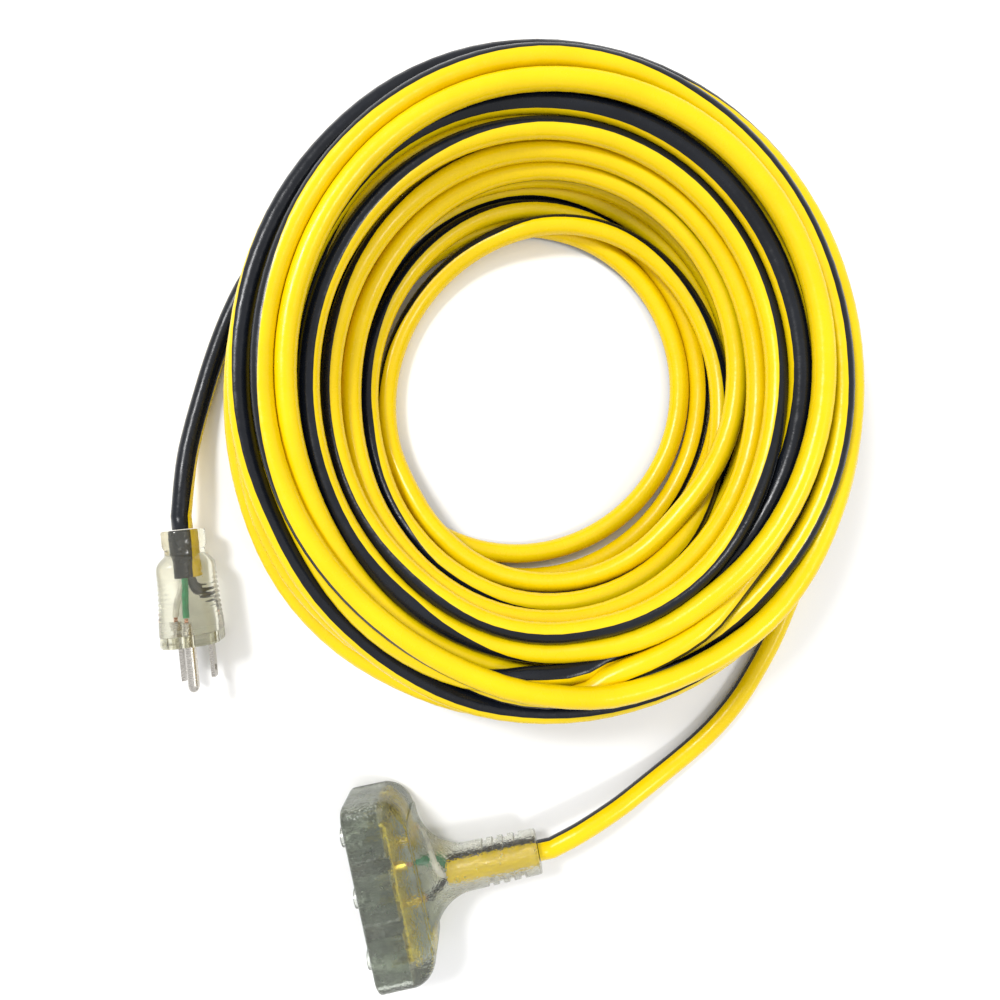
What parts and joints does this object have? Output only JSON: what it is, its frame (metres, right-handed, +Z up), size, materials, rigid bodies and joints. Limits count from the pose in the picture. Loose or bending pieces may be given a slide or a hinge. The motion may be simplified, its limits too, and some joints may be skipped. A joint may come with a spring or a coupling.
{
  "type": "extension cord",
  "caption": "Coiled heavy-duty extension cord with a striped round jacket, a clear grounded plug and a clear T-shaped multi-outlet tap.",
  "frame": {"origin": "on the ground, under the middle of the outlet tap's bounding box (cord, coil and plug left out)", "axes": "+Z up; the tap lies flat with its outlets facing -X, its neck towards +X and its long bar along Y"},
  "size_m": [0.3222, 0.3854, 0.0621],
  "materials": {
    "clear_tap_plastic": "clear grey-green flexible PVC with a fine pebbled grain",
    "clear_plug_plastic": "clear warm-tinted flexible PVC, smooth with moulded grip ribs",
    "brass": "stamped strip, bright",
    "nickel_plate": "nickel-plated brass, satin",
    "copper": "bare stranded copper",
    "black_core": "smooth PVC insulation",
    "white_core": "smooth PVC insulation",
    "green_core": "smooth PVC insulation",
    "cord_jacket": "glossy bright yellow PVC with one black stripe along its length"
  },
  "bodies": {
    "root": {"cord_coil": "cord_jacket", "cord_plug_tail": "cord_jacket", "cord_tap_tail": "cord_jacket", "earth_bus": "brass", "earth_contact_1": "brass", "earth_contact_2": "brass", "earth_contact_3": "brass", "hot_bus": "brass", "hot_contact_1": "brass", "hot_contact_2": "brass", "hot_contact_3": "brass", "neutral_bus": "brass", "neutral_contact_1": "brass", "neutral_contact_2": "brass", "neutral_contact_3": "brass", "outlet_1": "clear_tap_plastic", "outlet_2": "clear_tap_plastic", "outlet_3": "clear_tap_plastic", "plug_earth_conductor": "green_core", "plug_earth_pin": "nickel_plate", "plug_earth_strands": "copper", "plug_face": "clear_plug_plastic", "plug_hot_blade": "nickel_plate", "plug_hot_conductor": "black_core", "plug_hot_strands": "copper", "plug_housing": "clear_plug_plastic", "plug_jacket_end": "cord_jacket", "plug_neutral_blade": "nickel_plate", "plug_neutral_conductor": "white_core", "plug_neutral_strands": "copper", "tap_earth_conductor": "green_core", "tap_earth_strands": "copper", "tap_hot_conductor": "black_core", "tap_hot_strands": "copper", "tap_housing": "clear_tap_plastic", "tap_jacket_end": "cord_jacket", "tap_neutral_conductor": "white_core", "tap_neutral_strands": "copper"}
  },
  "joints": []
}
